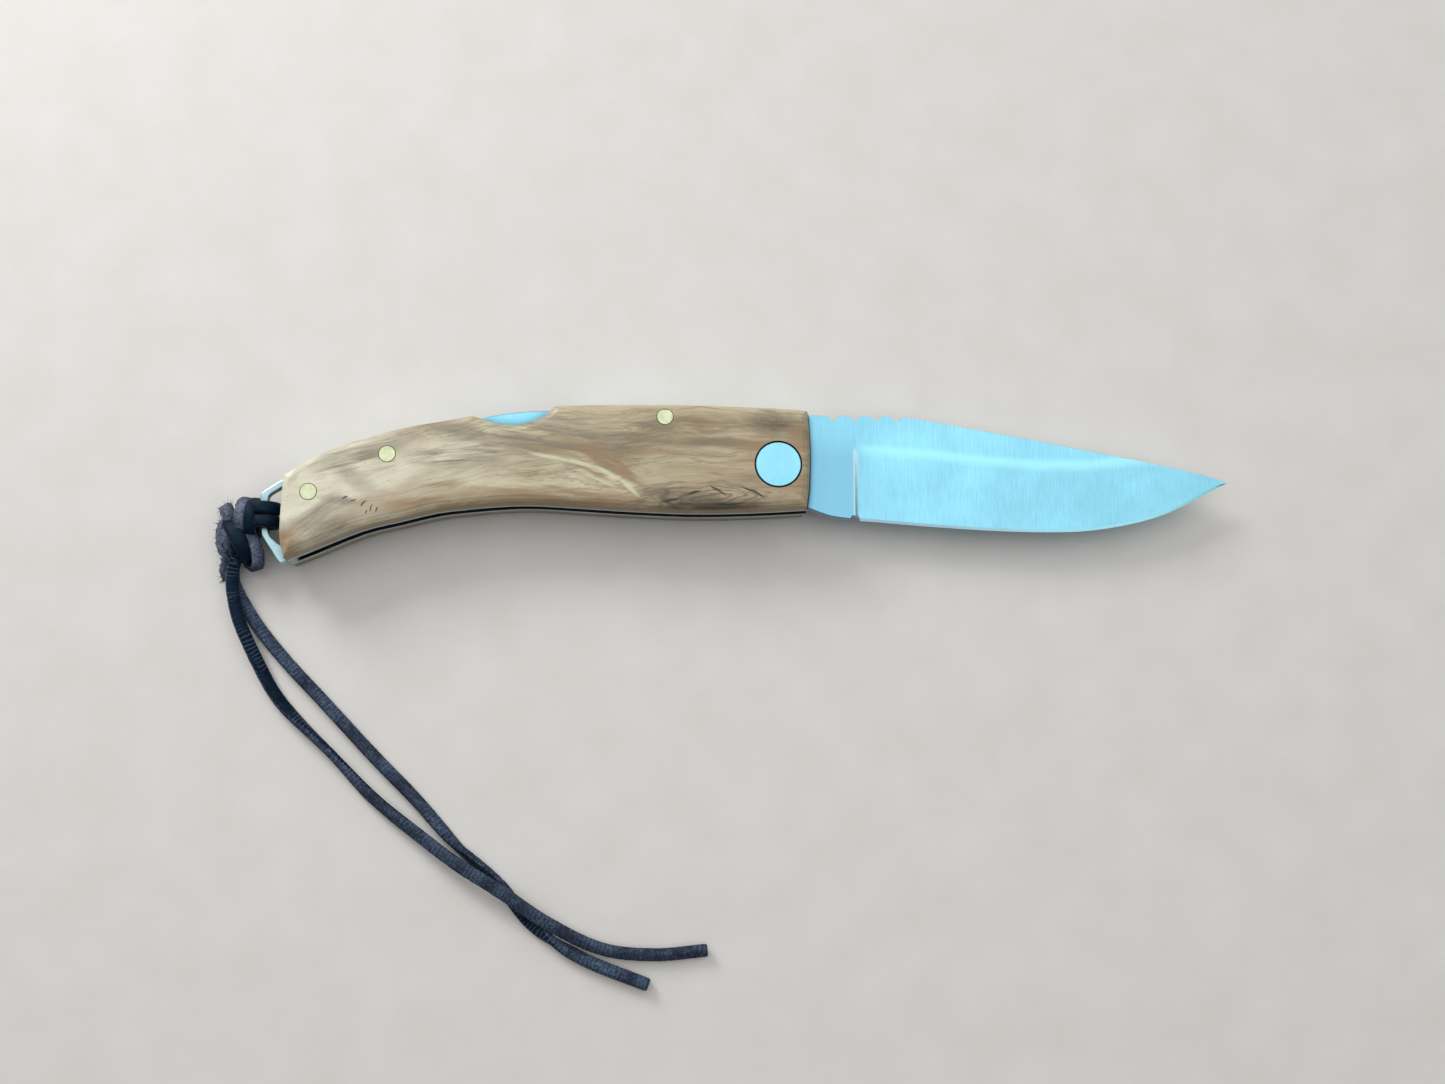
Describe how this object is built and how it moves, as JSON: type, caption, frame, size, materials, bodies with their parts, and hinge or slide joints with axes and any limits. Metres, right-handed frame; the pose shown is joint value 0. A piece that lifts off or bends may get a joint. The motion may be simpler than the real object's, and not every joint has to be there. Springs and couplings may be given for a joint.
{
  "type": "folding lock-back knife",
  "caption": "Folding lock-back knife with a drop-point blade, wooden scales over steel liners, a tail bail and a knotted leather lanyard.",
  "frame": {"origin": "on the blade's pivot axis, in the plane of the lower scale's outer face", "axes": "+X along the open blade to its tip, +Y to the blade's spine and the handle's back, +Z along the pivot axis, up through the handle's thickness"},
  "size_m": [0.197, 0.1097, 0.0129],
  "materials": {
    "scale_wood": "figured pale hardwood, oiled and worn",
    "liner_steel": "polished stainless steel sheet",
    "blade_steel": "satin stainless steel, ground crosswise",
    "lock_steel": "satin stainless steel",
    "spacer_steel": "satin stainless steel with polished edges",
    "pivot_steel": "fine turned stainless steel",
    "spring_steel": "tempered spring steel",
    "rivet_brass": "pale brass, sanded level with the wood",
    "washer_bronze": "phosphor bronze sheet",
    "lace_leather": "blue-black dyed leather, smooth on one side and rough on the other"
  },
  "bodies": {
    "handle": {"scale_near": "scale_wood", "scale_far": "scale_wood", "liner_near": "liner_steel", "liner_far": "liner_steel", "spacer": "spacer_steel", "lock_spring": "spring_steel", "pivot_pin": "pivot_steel", "pivot_disc_near": "pivot_steel", "pivot_disc_far": "pivot_steel", "washer_near": "washer_bronze", "washer_far": "washer_bronze", "lock_pin": "rivet_brass", "spacer_pin_front": "rivet_brass", "spacer_pin_rear": "rivet_brass", "lanyard_loop_upper": "lace_leather", "lanyard_loop_lower": "lace_leather", "lanyard_knot": "lace_leather", "lanyard_strand_long": "lace_leather", "lanyard_strand_short": "lace_leather"},
    "blade": {"blade": "blade_steel"},
    "lock_bar": {"lock_bar": "lock_steel"}
  },
  "joints": [
    {"name": "blade_pivot", "type": "hinge", "parent": "handle", "child": "blade", "pos_m": [0, 0, 0.0064], "axis": [0, 0, 1], "range_deg": [-170, 0]},
    {"name": "lock_bar_pivot", "type": "hinge", "parent": "handle", "child": "lock_bar", "pos_m": [-0.0216, 0.00908, 0.0064], "axis": [0, 0, 1], "range_deg": [0, 3], "stiffness_Nm_per_rad": 2, "springref_deg": -2.86, "deforming": ["lock_spring"]}
  ]
}
